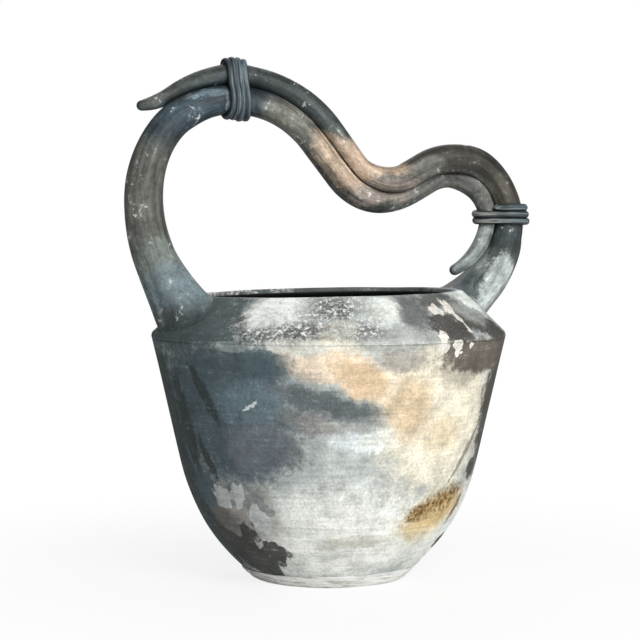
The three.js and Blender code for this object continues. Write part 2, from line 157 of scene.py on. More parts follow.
def ramp(value, low, high):
    """A soft step from 0 at low to 1 at high."""
    return value.finish.add(
        "MapRange",
        {"interpolation_type": "SMOOTHSTEP", "clamp": False},
        {"Value": value, "From Min": low, "From Max": high},
    )


print("signs:", [name for name in vars(Value) if name.startswith("__r")])

# %% [markdown]
# ## Floor and light
# A vase like this is shown on a plain pale floor under soft light, so that its own marks carry the
# picture. A broad lamp high in front shapes the round forms. Weak lamps lift the left and the right, one
# behind lifts the rim and the handle, and an even world fills the rest. Camera rays see the world and the
# far floor as white, while the near floor still takes the shadow.

# %% Floor, lamps and world
floor_half = 6.0
floor_grey = (0.85, 0.85, 0.85, 1)
floor_glow = 0.84
shadow_near = 0.05
shadow_far = 0.5
white = (1, 1, 1, 1)
fill_light = 0.11
aim = Vector((0, 0, 0.2))


def make_floor():
    bm = bmesh.new()
    bmesh.ops.create_grid(bm, x_segments=1, y_segments=1, size=floor_half)
    mesh = bpy.data.meshes.new("floor")
    bm.to_mesh(mesh)
    bm.free()
    floor = put("floor", mesh)
    finish = Finish(bpy.data.materials.new("pale_floor"))
    far = ramp(vectors("LENGTH", finish.place(), output="Value"), shadow_near, shadow_far)
    glow = far * (1 - floor_glow) + floor_glow
    seen = finish.add("LightPath", output="Is Camera Ray") * glow
    matt = finish.add("BsdfDiffuse", None, {"Color": floor_grey})
    bright = finish.add("Emission", None, {"Color": white, "Strength": 1.0})
    both = finish.add("MixShader", None, {0: seen, 1: matt, 2: bright})
    mesh.materials.append(finish.surface(both))


def make_lamp(name, place, size, watts):
    lamp_data = bpy.data.lights.new(name, "AREA")
    lamp_data.size = size
    lamp_data.energy = watts
    lamp = put(name, lamp_data)
    lamp.location = place
    lamp.rotation_euler = (aim - lamp.location).to_track_quat("-Z", "Y").to_euler()


def make_world():
    finish = Finish(bpy.data.worlds.new("even_light"))
    seen = finish.add("LightPath", output="Is Camera Ray")
    fill = finish.add("Background", None, {"Color": white, "Strength": fill_light})
    backdrop = finish.add("Background", None, {"Color": white, "Strength": 1.0})
    both = finish.add("MixShader", None, {0: seen, 1: fill, 2: backdrop})
    bpy.context.scene.world = finish.surface(both, "OutputWorld")


make_floor()
make_lamp("key_lamp", place=(0.3, -1.6, 1.05), size=0.9, watts=33)
make_lamp("left_lamp", place=(-1.5, -0.9, 0.9), size=1.0, watts=4)
make_lamp("right_lamp", place=(1.5, -0.7, 0.5), size=1.0, watts=4)
make_lamp("back_lamp", place=(0.3, 1.5, 1.3), size=1.2, watts=12)
make_world()
bpy.context.scene.view_settings.view_transform = "Standard"
print("lamps:", [lamp.name for lamp in bpy.data.lights])

# %% [markdown]
# ## Working the clay
# Every piece ends the same way: doubles are welded, faces point out, and a subdivision surface softens
# what the tools left. Before that, shallow dents are pressed in along the normals. They come from one
# noise field in space, so that two pieces that meet at a joint are dented alike there.

# %% Helpers for clay
weld = 1e-5
dent_depth = 0.0005
dent_size = 0.035


def clay_piece(name, bm, levels=2):
    bmesh.ops.remove_doubles(bm, verts=bm.verts, dist=weld)
    bmesh.ops.recalc_face_normals(bm, faces=bm.faces)
    bm.normal_update()
    for vert in bm.verts:
        vert.co += dent_depth * noise.noise(vert.co / dent_size) * vert.normal
    mesh = bpy.data.meshes.new(name)
    bm.to_mesh(mesh)
    bm.free()
    mesh.shade_smooth()
    piece = put(name, mesh)
    softened = piece.modifiers.new("softened", "SUBSURF")
    softened.levels = levels
    softened.render_levels = levels
    print(name, "cage faces:", len(mesh.polygons))
    return piece


def turned(outline, rounded, sides):
    """Round some corners of a (radius, height) outline, then spin it once about the vessel's axis."""
    bm = bmesh.new()
    verts = [bm.verts.new((radius, 0, height)) for radius, height in outline]
    for pair in zip(verts, verts[1:] + verts[:1]):
        bm.edges.new(pair)
    for corner_index, reach, segments in rounded:
        bmesh.ops.bevel(
            bm, geom=[verts[corner_index]], offset=reach, segments=segments, profile=0.5,
            affect="VERTICES", material=-1,
        )
    bmesh.ops.spin(
        bm, geom=bm.verts[:] + bm.edges[:], cent=(0, 0, 0), axis=(0, 0, 1), dvec=(0, 0, 0),
        angle=2 * math.pi, steps=sides, use_merge=True, use_duplicate=False,
    )
    return bm


print("dents up to", dent_depth * 1000, "mm deep,", dent_size * 1000, "mm apart")

# %% [markdown]
# ## The bowl
# The bowl is a coil-built wall: an arc from the foot, then a straight stretch that leans out to the
# joint. It could be sculpted from a cylinder, but a spun outline keeps it true to the solid. The outline
# is the arc outside, the same arc a wall's thickness further in, and small rounds at the joint. Points
# inside are marked, so that the finish can colour them near black.

# %% Bowl wall
slip = 0.0003
foot_radius = 0.066
foot_height = 0.008
joint_radius = 0.135
joint_height = 0.183
scored_height = 0.1843
wall_lean = math.radians(13)
wall_break = 0.086
wall_thickness = 0.006
joint_round = 0.0003
round_sides = 64

wall_up = Vector((math.sin(wall_lean), math.cos(wall_lean)))
wall_in = Vector((-wall_up.y, wall_up.x))
wall_top = Vector((joint_radius, joint_height))


def on_wall(height):
    return wall_top + wall_up * ((height - joint_height) / wall_up.y)


wall_foot = Vector((foot_radius, foot_height + slip))
wall_rise = on_wall(wall_break) - wall_foot
arc_radius = -wall_rise.length_squared / (2 * wall_rise.dot(wall_in))
arc_centre = on_wall(wall_break) + wall_in * arc_radius


def bowl_radius(height):
    """The outer radius of the bowl at a height."""
    if height > wall_break:
        return on_wall(height).x
    return arc_centre.x + math.sqrt(arc_radius ** 2 - (height - arc_centre.y) ** 2)


def mark_inside(bm, outer_radius, top):
    """Keep a number at each point: 1 where it lies inside the vessel and below its top, 0 elsewhere."""
    inside = bm.verts.layers.float.new("inside")
    for vert in bm.verts:
        across = math.hypot(vert.co.x, vert.co.y)
        inner = across < outer_radius(vert.co.z) - wall_thickness / 2
        vert[inside] = 1.0 if inner and vert.co.z < top else 0.0


def make_bowl():
    arc_steps = 10
    wall_steps = 5
    crowding = 1.3
    rise = wall_break - wall_foot.y
    heights = [wall_foot.y + rise * (step / arc_steps) ** crowding for step in range(arc_steps)]
    wall_run = scored_height - wall_break
    heights += [wall_break + wall_run * step / wall_steps for step in range(wall_steps + 1)]
    outside = [Vector((bowl_radius(height), height)) for height in heights]
    inside = []
    for point, before, after in zip(outside, outside[:1] + outside, outside[1:] + outside[-1:]):
        along = (after - before).normalized()
        inside.append(point + Vector((-wall_thickness / along.y, 0)))
    last = len(outside)
    bm = turned(
        outside + inside[::-1], [(last - 1, joint_round, 2), (last, joint_round, 2)], round_sides
    )
    mark_inside(bm, bowl_radius, scored_height)
    return clay_piece("bowl", bm)


bowl = make_bowl()

# %% [markdown]
# ## The shoulder
# The shoulder is a cone that was pressed by itself and scored onto the bowl. It sits flush on the wall,
# with a rounded corner just above the joint, and its mouth dips to the left. The mouth could be spun
# about a tilted axis, but a small move of the spun mesh keeps the joint level and the rings clean.

# %% Shoulder
corner_rise = 0.004
corner_round = 0.0026
shoulder_height = 0.0347
lip_radius = 0.1018
shoulder_thickness = 0.005
lip_round = 0.0016
lip_depth = 0.0045
mouth_tilt = math.radians(1.1)
rim_height = joint_height + shoulder_height
view_right = Vector((math.cos(view_azimuth), math.sin(view_azimuth), 0))
corner = on_wall(joint_height + corner_rise)
lip_edge = Vector((lip_radius, rim_height))
slope_down = (corner - lip_edge).normalized()


def shoulder_radius(height):
    """The outer radius of the shoulder at a height."""
    if height < corner.y:
        return on_wall(height).x
    return lip_radius + (height - rim_height) * slope_down.x / slope_down.y


def smooth(low, high, value):
    """A soft step from 0 at low to 1 at high."""
    share = min(max((value - low) / (high - low), 0), 1)
    return share * share * (3 - 2 * share)


def mouth_dip(point):
    """How far the tilted mouth lifts or lowers a point of the shoulder."""
    share = smooth(joint_height, rim_height, point.z)
    return math.tan(mouth_tilt) * point.dot(view_right) * share


def make_shoulder():
    slope_steps = 4
    foot = on_wall(scored_height - slip)
    lip_inside = lip_edge - Vector((shoulder_thickness, 0))
    inner_foot = foot - Vector((wall_thickness / wall_up.y, 0))
    inner_top = lip_inside - Vector((0, lip_depth))
    slope = [corner.lerp(lip_edge, step / slope_steps) for step in range(1, slope_steps)]
    inner_slope = [inner_top.lerp(inner_foot, step / slope_steps) for step in range(slope_steps)]
    lip_ring = lip_depth / shoulder_height / slope_steps
    inner_slope[1:1] = [inner_top.lerp(inner_foot, lip_ring)]
    outline = [foot, corner] + slope + [lip_edge, lip_inside] + inner_slope + [inner_foot]
    lip = 2 + len(slope)
    rounded = [(0, joint_round, 2), (1, corner_round, 4), (lip, lip_round, 3), (lip + 1, lip_round, 3)]
    bm = turned(outline, rounded, round_sides)
    mark_inside(bm, shoulder_radius, rim_height - lip_depth / 2)
    for vert in bm.verts:
        vert.co.z += mouth_dip(vert.co)
    return clay_piece("shoulder_cone", bm)


shoulder = make_shoulder()

# %% [markdown]
# ## The foot
# The base slab shows as a pale, rough band whose layers were never burnished. It goes on with the bowl's
# curve down to the rest, and its top line climbs from left to right, where clay was pushed up over the
# wall. The layers could be sculpted, but noise does it evenly: the band is spun like the rest, then each
# ring is moved by noise that changes quickly with height and slowly round the edge.

# %% Foot band
rest_radius = 0.0575
rest_edge = 0.002
band_left = 0.0085
band_right = 0.0125
band_proud = 0.0006
band_tuck = 0.005
band_round = 0.7
layer_depth = 0.0014
layer_height = 0.0018
layer_length = 0.012
layer_fade = 0.002


def band_radius(height):
    """The radius of the foot's band: a round from the rest to the wall, then the wall's own curve."""
    if height > wall_foot.y:
        return bowl_radius(height) + band_proud
    share = height / wall_foot.y
    return rest_radius + (foot_radius + band_proud - rest_radius) * share ** band_round


def make_foot():
    levels = 10
    sides = 96
    outline = [Vector((0, 0)), Vector((rest_radius / 2, 0)), Vector((rest_radius - rest_edge, 0))]
    outline += [Vector((foot_radius, band_left * step / levels)) for step in range(levels + 1)]
    outline += [Vector((foot_radius - band_tuck, foot_height)), Vector((0, foot_height))]
    bm = turned(outline, [], sides)
    bmesh.ops.remove_doubles(bm, verts=bm.verts, dist=weld)
    rise = bm.verts.layers.float.new("rise")
    for vert in bm.verts:
        flat = Vector((vert.co.x, vert.co.y, 0))
        vert[rise] = vert.co.z / band_left
        if flat.length < foot_radius - weld:
            continue
        right = (flat.normalized().dot(view_right) + 1) / 2
        height = vert.co.z / band_left * (band_left + (band_right - band_left) * right)
        layered = Vector((vert.co.x / layer_length, vert.co.y / layer_length, height / layer_height))
        radius = band_radius(height) + layer_depth * noise.noise(layered) * smooth(0, layer_fade, height)
        vert.co = flat.normalized() * radius
        vert.co.z = height
    return clay_piece("foot_band", bm, 1)


foot = make_foot()

# %% [markdown]
# ## The line between the vines
# Both vines follow one line in the handle's plane: a big arch, a straight slope, a valley, a short rise
# and a small arch. A drawn curve would do, but a walk along lengths and turns gives any point exactly.
# One vine lies on each side of the line. They lean across each other at the left and twist over the
# valley.

# %% Seam of the handle
big_arch_centre = Vector((-0.0764, rim_height + 0.0654))
big_arch_radius = 0.0898
seam_start = math.radians(121)
slope_angle = math.radians(39.5)
slope_run = 0.0397
valley_radius = 0.0377
valley_sweep = math.radians(77.8)
rise_run = 0.0177
small_arch_radius = 0.0384
small_arch_sweep = math.radians(133)
twist_angle = math.radians(40)
lean_angle = math.radians(-12)
lean_stays = 75
twist_falls = (90, 40)

big_arch_run = big_arch_radius * (seam_start - slope_angle)
seam_stretches = [
    (big_arch_run, slope_angle - seam_start),
    (slope_run, 0),
    (valley_radius * valley_sweep, valley_sweep),
    (rise_run, 0),
    (small_arch_radius * small_arch_sweep, -small_arch_sweep),
]
slope_at = big_arch_run
valley_at = slope_at + slope_run
rise_at = valley_at + valley_radius * valley_sweep
small_arch_at = rise_at + rise_run
seam_length = small_arch_at + small_arch_radius * small_arch_sweep


def heading(angle):
    """The flat direction at an angle."""
    return Vector((math.cos(angle), math.sin(angle)))


def walk(point, angle, stretches, place):
    """The point and the heading after a length along stretches, each a length and a turn."""
    for length, turn in stretches:
        run = min(place, length)
        half = turn * run / length / 2
        chord = run * (math.sin(half) / half if half else 1)
        point = point + chord * heading(angle + half)
        angle += 2 * half
        place -= run
        if place <= 0:
            break
    return point, angle


def seam_at(place):
    start = big_arch_centre + big_arch_radius * heading(seam_start)
    return walk(start, seam_start - math.pi / 2, seam_stretches, place)


def on_big_arch(degrees):
    return big_arch_radius * (seam_start - math.radians(degrees))


def on_small_arch(degrees):
    return small_arch_at + small_arch_radius * (slope_angle + valley_sweep - math.radians(degrees))


def twist_at(place):
    leaning = lean_angle * (1 - smooth(on_big_arch(lean_stays), slope_at, place))
    falls = [on_small_arch(degrees) for degrees in twist_falls]
    twisted = smooth(valley_at, rise_at, place) * (1 - smooth(*falls, place))
    return leaning + twist_angle * twisted


print("seam:", round(seam_length * 1000), "mm, small arch starts at", round(small_arch_at * 1000), "mm")

# %% [markdown]
# ## How thick the vines are
# A vine is rolled by hand, so it tapers with swellings, and the thick one was pinched where it is lashed.
# Diameters are given at a few places along the line and joined by straight runs. A spline through them
# would overshoot, so each run is averaged over a short stretch instead, which takes away the kinks.

# %% Thickness along the seam
left_lashing_at = on_big_arch(88)
right_lashing_at = on_small_arch(3)
left_join_at = on_big_arch(119)
right_join_at = right_lashing_at + 0.0118
pinch = 0.0082
ease = 0.0035
ease_steps = (-1, -0.5, 0, 0.5, 1)


def taper(stations):
    """A function that gives the eased radius at a place, from (place, diameter) pairs."""
    def straight(place):
        if place <= stations[0][0]:
            return stations[0][1] / 2
        for (before, thick), (after, thin) in zip(stations, stations[1:]):
            if place <= after:
                return (thick + (thin - thick) * (place - before) / (after - before)) / 2
        return stations[-1][1] / 2

    def eased(place):
        return sum(straight(place + ease * step) for step in ease_steps) / len(ease_steps)

    return eased


left_radius = taper([
    (left_join_at, 0.0250),
    (left_lashing_at - pinch - 0.014, 0.0227),
    (left_lashing_at - pinch - 0.003, 0.0222),
    (left_lashing_at - pinch + 0.001, 0.0198),
    (left_lashing_at - 0.003, 0.0228),
    (left_lashing_at + 0.009, 0.0216),
    (slope_at, 0.0196),
    (valley_at, 0.0209),
    (small_arch_at, 0.0178),
    (right_lashing_at, 0.0136),
    (seam_length, 0.0128),
])
right_radius = taper([
    (0, 0.0114),
    (left_lashing_at - 0.011, 0.0166),
    (left_lashing_at, 0.0190),
    (left_lashing_at + 0.011, 0.0175),
    (slope_at, 0.0179),
    (valley_at, 0.0163),
    (small_arch_at, 0.0217),
    (on_small_arch(60), 0.0224),
    (on_small_arch(24), 0.0216),
    (right_join_at, 0.0246),
])
print("thick vine at its lashing:", round(left_radius(left_lashing_at) * 2000, 1), "mm")

# %% [markdown]
# ## The path of each vine
# Along the seam a vine follows its own side of the line. A station is a middle and a radius, and a list
# of them describes a whole vine. A curve with a bevel also makes a tube, but stations can taper and
# touch. The vines are pressed into each other a little, as soft clay is.

# %% Stations of the vines
step_length = 0.003
press = 0.0005


def in_plane(flat, depth=0.0):
    return Vector((flat.x, depth, flat.y))


def seam_station(place, side, radius_at):
    """A vine's middle and radius beside the seam; side is 1 for the right vine and -1 for the left."""
    point, angle = seam_at(place)
    radius = radius_at(place)
    reach = side * (radius - press)
    twist = twist_at(place)
    flat = point + reach * math.cos(twist) * heading(angle + math.pi / 2)
    return in_plane(flat, -reach * math.sin(twist)), radius


def along_seam(start, end, side, radius_at):
    count = math.ceil(abs(end - start) / step_length)
    return [seam_station(start + (end - start) * i / count, side, radius_at) for i in range(count + 1)]


print("stations are", step_length * 1000, "mm apart")

# %% [markdown]
# ## The rise from each root
# A vine rises out of the shoulder, bends over its knee and comes into the seam. Points set by hand could
# draw this run, but two curves that share their heading at the knee stay smooth when a size changes. One
# leads from the foot to the knee, and the other from the knee to the seam.

# %% Roots of the vines
below_steps = 6
rise_points = 13
bend_points = 36


class Root:
    """The free run of a vine, from its foot on the shoulder by its knee to the seam."""

    def __init__(self, side, share, knee, lean, pull, diameters):
        self.side = side
        self.knee = Vector(knee)
        self.lean = Vector((side * math.sin(lean), math.cos(lean)))
        self.pull = pull
        self.diameters = diameters
        self.below = diameters[0] / 2
        foot = lip_edge.lerp(corner, share)
        self.foot = Vector((side * foot.x, foot.y))
        rise = self.knee - self.foot
        self.run = rise.length
        self.up = rise * (2 * rise.dot(self.lean) / rise.length_squared) - self.lean

    def stations(self, join, join_heading, join_pull):
        bend = self.run / 3
        target = Vector((join[0].x, join[0].z))
        start = self.foot - self.up * self.below
        path = [start.lerp(self.foot, i / below_steps) for i in range(below_steps)]
        path += geometry.interpolate_bezier(
            self.foot, self.foot + self.up * bend, self.knee - self.lean * bend, self.knee, rise_points
        )[:-1]
        leaving = self.knee + self.lean * self.pull
        arriving = target - join_heading * join_pull
        path += geometry.interpolate_bezier(self.knee, leaving, arriving, target, bend_points)
        lengths = [0]
        for before, after in zip(path, path[1:]):
            lengths.append(lengths[-1] + (after - before).length)
        knee_at = self.below + self.run
        radius_at = taper([
            (self.below, self.diameters[0]),
            (knee_at, self.diameters[1]),
            ((knee_at + lengths[-1]) / 2, self.diameters[2]),
            (lengths[-1], join[1] * 2),
        ])
        depths = [join[0].y * smooth(knee_at, lengths[-1], place) for place in lengths]
        radii = [radius_at(place) for place in lengths]
        return [(in_plane(flat, depth), radius) for flat, depth, radius in zip(path, depths, radii)][:-1]


left_root = Root(
    side=-1, share=0.49, knee=(-0.1340, 0.2410), lean=math.radians(22.5), pull=0.064,
    diameters=(0.0345, 0.0322, 0.0280),
)
right_root = Root(
    side=1, share=0.36, knee=(0.1290, 0.2250), lean=math.radians(40), pull=0.028,
    diameters=(0.0316, 0.0316, 0.0270),
)
print("rise to the knee:", [round(root.run * 1000, 1) for root in (left_root, right_root)], "mm")

# %% [markdown]
# ## The free tails
# Past its last lashing a vine ends in a free tail, which curls out of the line and has a blunt tip. A half
# sphere could close it, but a few more stations that shrink like a circle keep the vine one roll of clay.
# With both ends worked out, each vine is a single list of stations.

# %% Tails and whole vines
tip_steps = 5
tip_open = 0.4


def tail(start, angle, run, curl, tip_radius):
    """Stations of a free tail, which curls out of the seam's line and ends in a blunt tip."""
    count = math.ceil(run / step_length)
    flat = Vector((start[0].x, start[0].z))
    stations = []
    for i in range(1, count + 1):
        flat = flat + heading(angle - curl * (i - 0.5) / count) * run / count
        radius = start[1] + (tip_radius - start[1]) * (i / count) ** 2
        stations.append((in_plane(flat, start[0].y), radius))
    for i in range(1, tip_steps + 1):
        share = math.pi / 2 * i / (tip_steps + tip_open)
        tip = flat + heading(angle - curl) * tip_radius * math.sin(share)
        stations.append((in_plane(tip, start[0].y), tip_radius * math.cos(share)))
    return stations


left_on_seam = along_seam(left_join_at, seam_length, -1, left_radius)
left_forward = heading(seam_at(left_join_at)[1])
left_stations = left_root.stations(left_on_seam[0], left_forward, join_pull=0.021) + left_on_seam
left_stations += tail(
    left_on_seam[-1], seam_at(seam_length)[1], run=0.0420, curl=math.radians(48), tip_radius=0.0043
)

right_on_seam = along_seam(right_join_at, 0, 1, right_radius)
right_forward = -heading(seam_at(right_join_at)[1])
right_stations = right_root.stations(right_on_seam[0], right_forward, join_pull=0.006) + right_on_seam
right_stations += tail(
    right_on_seam[-1], seam_at(0)[1] + math.pi, run=0.0205, curl=math.radians(22), tip_radius=0.0038
)
print("stations:", len(left_stations), "left,", len(right_stations), "right")

# %% [markdown]
# ## A tube along stations
# A vine or a cord starts as a circle, and the circle is extruded from station to station. A transform
# moves, turns and scales each new ring at once. A ring is drawn a little full, because softening pulls it
# in. Every point keeps how it lies in the roll of clay, so that streaks can run along the roll.

# %% Tubes
vine_sides = 20


def ring_frame(centre, along, across, wide, deep):
    """The matrix that carries a unit circle to a ring, with its own width and depth."""
    along = along.normalized()
    across = (across - along * across.dot(along)).normalized()
    out = across.cross(along)
    carried = Matrix((out * wide, across * deep, along * wide)).transposed().to_4x4()
    carried.translation = centre
    return carried


def fullness(sides):
    """How much wider a ring is drawn, so that it has its true size once softened."""
    return 3 / (2 + math.cos(2 * math.pi / sides))


def tube(frames, sides):
    """Extrude a circle from frame to frame and close both ends."""
    bm = bmesh.new()
    lie = bm.verts.layers.float_vector.new("lie")
    full = fullness(sides)
    bmesh.ops.create_circle(bm, cap_ends=False, segments=sides, radius=full, matrix=frames[0])
    edges = bm.edges[:]
    bmesh.ops.contextual_create(bm, geom=edges)
    walked = 0
    for before, after in zip(frames, frames[1:]):
        grown = bmesh.ops.extrude_edge_only(bm, edges=edges)["geom"]
        edges = [item for item in grown if isinstance(item, bmesh.types.BMEdge)]
        verts = [item for item in grown if isinstance(item, bmesh.types.BMVert)]
        bmesh.ops.transform(bm, matrix=after @ before.inverted(), verts=verts)
        walked += (after.translation - before.translation).length
        out = after.col[0].to_3d().normalized()
        across = after.col[1].to_3d().normalized()
        for vert in verts:
            offset = vert.co - after.translation
            vert[lie] = (walked, offset.dot(out), offset.dot(across))
    bmesh.ops.contextual_create(bm, geom=edges)
    return bm


def headings(points):
    """The direction of a line of points at each of them."""
    last = len(points) - 1
    return [points[min(i + 1, last)] - points[max(i - 1, 0)] for i in range(last + 1)]


print("a ring of", vine_sides, "points is drawn", round(fullness(vine_sides), 3), "times as wide")

# %% [markdown]
# ## The two vines
# Each vine is a tube that is cut off just below the shoulder's face, so that no clay comes through into
# the bowl. The cut could be a boolean, but one plane along the slope is enough. Every point also keeps how
# near it is to the line where the vines meet, as a mask for painted shade.

# %% Vines
root_depth = 0.0016
root_span = 3
crease_shade_near = 0.0025
crease_shade_far = 0.0075
crease_points = 150
front_to_back = Vector((0, 1, 0))


def mark_crease_shade(bm, shade_extra_width):
    """Mark painted shade: 1 where vines touch, 0 away; the last argument adds width on the big arch."""
    crease_shade = bm.verts.layers.float.new("crease_shade")
    places = [seam_length * i / crease_points for i in range(crease_points + 1)]
    touching = [(in_plane(seam_at(place)[0]), place) for place in places]
    for vert in bm.verts:
        away, place = min(((vert.co - point).length, place) for point, place in touching)
        far = crease_shade_far + shade_extra_width * (1 - smooth(slope_at, valley_at, place))
        vert[crease_shade] = 1 - smooth(crease_shade_near, far, away)


def make_vine(name, stations, root, shade_extra_width):
    centres = [centre for centre, radius in stations]
    frames = []
    for (centre, radius), along in zip(stations, headings(centres)):
        frames.append(ring_frame(centre, along, front_to_back, radius, radius))
    bm = tube(frames, vine_sides)
    slope_out = Vector((root.side * -slope_down.y, slope_down.x))
    cut = in_plane(root.foot - slope_out * root_depth)
    near_verts = [vert for vert in bm.verts if (vert.co - cut).length < root.below * root_span]
    near_root = set(near_verts)
    near_edges = [edge for edge in bm.edges if near_root.issuperset(edge.verts)]
    near_faces = [face for face in bm.faces if near_root.issuperset(face.verts)]
    bmesh.ops.bisect_plane(
        bm, geom=near_verts + near_edges + near_faces, plane_co=cut, plane_no=in_plane(slope_out),
        clear_inner=True,
    )
    open_edges = [edge for edge in bm.edges if edge.is_boundary]
    bmesh.ops.contextual_create(bm, geom=open_edges)
    mark_crease_shade(bm, shade_extra_width)
    return clay_piece(name, bm)


left_vine = make_vine("thick_vine", left_stations, left_root, shade_extra_width=-0.0025)
right_vine = make_vine("slim_vine", right_stations, right_root, shade_extra_width=0.0055)

# %% [markdown]
# ## The roots
# Where a vine stands on the shoulder, soft clay was pressed round it until the joint ran smooth. A bevel
# can't follow two meshes, so each root is a short cylinder whose points move onto curves: they leave
# along the vine and land flat on the shoulder, further out along the rim than down the slope. Both edges
# dive into the clay.

# %% Root fillets
root_sides = 48
root_rows = 12
root_hug = 0.26
mouth_fill = 0.7
lip_inset = 0.0032
sink = 0.0005
landing_step = 0.2


def shoulder_top(radius):
    """The height of the shoulder's outer face at a radius; the lip is level."""
    return rim_height + max(radius - lip_radius, 0) * slope_down.y / slope_down.x


def on_shoulder(radius, turn):
    """The point of the shoulder at a radius and at a turn from the handle's plane, kept on the lip."""
    radius = max(radius, lip_radius - lip_inset)
    point = Vector((radius * math.cos(turn), radius * math.sin(turn), shoulder_top(radius)))
    point.z += mouth_dip(point) - sink
    return point


def root_curve(root, ring, up, spreads, turn):
    """The curve of pressed clay on one side of a vine, from a ring of the vine down to the shoulder."""
    centre, radius = ring
    front, back, down, mouth = spreads
    out = math.cos(turn) * front_to_back + math.sin(turn) * front_to_back.cross(up) * root.side
    top = centre + out * (radius - sink)
    side_reach = (root.below + (back if math.cos(turn) > 0 else front)) * math.cos(turn)
    down_reach = (root.below + (down if math.sin(turn) > 0 else mouth)) * math.sin(turn)
    foot_turn = side_reach / abs(root.foot.x)
    if root.side < 0:
        foot_turn = math.pi - foot_turn
    here = abs(root.foot.x) + down_reach * slope_down.x
    landing = on_shoulder(here, foot_turn)
    nearer = landing.lerp(in_plane(root.foot), landing_step)
    flat_turn = math.atan2(nearer.y, nearer.x)
    inward = on_shoulder(math.hypot(nearer.x, nearer.y), flat_turn) - landing
    hug = (top - landing).length * root_hug
    if math.sin(turn) < 0:
        hug *= 1 + math.sin(turn) * mouth_fill
    return geometry.interpolate_bezier(
        top, top - up * hug, landing + inward.normalized() * hug, landing, root_rows + 1
    )


def make_root(name, root, stations, rise, spreads):
    """Press clay round a root, from a rise up the vine; spreads are its reach front, back, down and up."""
    centres = [centre for centre, radius in stations]
    foot = in_plane(root.foot)
    ring = next(i for i, centre in enumerate(centres) if centre.z > foot.z and (centre - foot).length > rise)
    up = headings(centres)[ring].normalized()
    bm = bmesh.new()
    bmesh.ops.create_cone(
        bm, cap_ends=False, segments=root_sides, radius1=1, radius2=1, depth=1,
        matrix=Matrix.Translation((0, 0, 0.5)),
    )
    upright = [edge for edge in bm.edges if abs(edge.verts[0].co.z - edge.verts[1].co.z) > 0.5]
    bmesh.ops.subdivide_edges(bm, edges=upright, cuts=root_rows - 1)
    for vert in bm.verts:
        curve = root_curve(root, stations[ring], up, spreads, math.atan2(vert.co.y, vert.co.x))
        vert.co = curve[round((1 - vert.co.z) * root_rows)]
    return clay_piece(name, bm)


left_collar = make_root(
    "thick_root", left_root, left_stations, rise=0.048, spreads=(0.034, 0.014, 0.003, 0.014)
)
right_collar = make_root(
    "slim_root", right_root, right_stations, rise=0.050, spreads=(0.006, 0.034, 0.003, 0.005)
)

# %% [markdown]
# ## One turn of cord
# Seen along the vines, a turn of cord is a tight band round two circles: two straight runs and two arcs.
# An oval would stand off from the vines. The walk that drew the seam also gives any point of this band.

# %% Band round two circles
def band_point(low, low_radius, high, high_radius, share):
    """A point at a share of the way round two circles, starting at the middle of the front."""
    touch = math.acos((low_radius - high_radius) / (high - low))
    straight = (high - low) * math.sin(touch)
    front_low = Vector((low, 0)) + low_radius * heading(-touch)
    front_high = Vector((high, 0)) + high_radius * heading(-touch)
    stretches = [
        (straight / 2, 0),
        (2 * touch * high_radius, 2 * touch),
        (straight, 0),
        (2 * (math.pi - touch) * low_radius, 2 * (math.pi - touch)),
        (straight / 2, 0),
    ]
    whole = sum(length for length, turn in stretches)
    point, angle = walk(front_low.lerp(front_high, 0.5), math.pi / 2 - touch, stretches, share * whole)
    return point


print("halfway round two equal circles:", [round(c, 2) for c in band_point(-1, 1, 1, 1, share=0.5)])

# %% [markdown]
# ## The lashings
# A lashing is one cord of clay, wound round both vines while soft. Stacked rings would look alike, but
# one winding has true ends and a true climb. It is pulled in at its waist, where soft clay sinks between
# the vines. A slant tips the winding, and no stretch is quite as thick as the next.

# %% Lashings
cord_steps = 40
cord_sides = 10
cord_seat = 0.46
cord_flat = 0.95
cord_wide = 1.03
blunt_steps = (-1, 2)
sway = 0.0004
sway_beat = 2.3
uneven = 0.09
uneven_beat = 0.11
seeds_apart = 100


def make_lashing(name, place, arch_radius, cord, turns, pitch, start, waist, slant, gather):
    """Wind a cord round both vines: waist pulls it in, slant tips it, gather draws its front together."""
    seam_point, angle = seam_at(place)
    along = in_plane(heading(angle))
    outward = in_plane(heading(angle + math.pi / 2))
    twist = twist_at(place)
    up = math.cos(twist) * outward - math.sin(twist) * front_to_back
    across = math.sin(twist) * outward + math.cos(twist) * front_to_back
    count = round(turns * cord_steps)
    seat = cord * cord_seat
    seed = place * seeds_apart
    points = []
    for i in range(count + 1):
        turn = turns * i / count
        offset = (turn - turns / 2) * pitch
        low_radius = left_radius(place + offset)
        high_radius = right_radius(place + offset)
        flat = band_point(
            press - low_radius, low_radius + seat, high_radius - press, high_radius + seat,
            (turn + start) % 1,
        )
        flat.y *= 1 - waist * (1 - smooth(0, low_radius, abs(flat.x)))
        offset *= 1 - gather * smooth(0, low_radius, -flat.y)
        sag = offset ** 2 / (2 * arch_radius)
        drift = sway * noise.noise(Vector((turn * sway_beat, seed, 0))) - slant * flat.x
        point = in_plane(seam_point) + up * (flat.x - sag) + across * flat.y
        points.append(point + along * (offset + drift))
    frames = []
    for i, (point, forward) in enumerate(zip(points, headings(points))):
        blunt = smooth(*blunt_steps, min(i, count - i))
        thick = cord / 2 * blunt * (1 + uneven * noise.noise(Vector((i * uneven_beat, seed, 1))))
        frames.append(ring_frame(point, forward, along, thick * cord_flat, thick * cord_wide))
    return clay_piece(name, tube(frames, cord_sides))


left_lashing = make_lashing(
    "four_turn_lashing", left_lashing_at, big_arch_radius,
    cord=0.0050, turns=4, pitch=0.0048, start=0.5, waist=0.14, slant=0.10, gather=0.25,
)
right_lashing = make_lashing(
    "short_lashing", right_lashing_at, small_arch_radius,
    cord=0.0055, turns=2.55, pitch=0.0053, start=-0.03, waist=0.12, slant=0.0, gather=0.0,
)

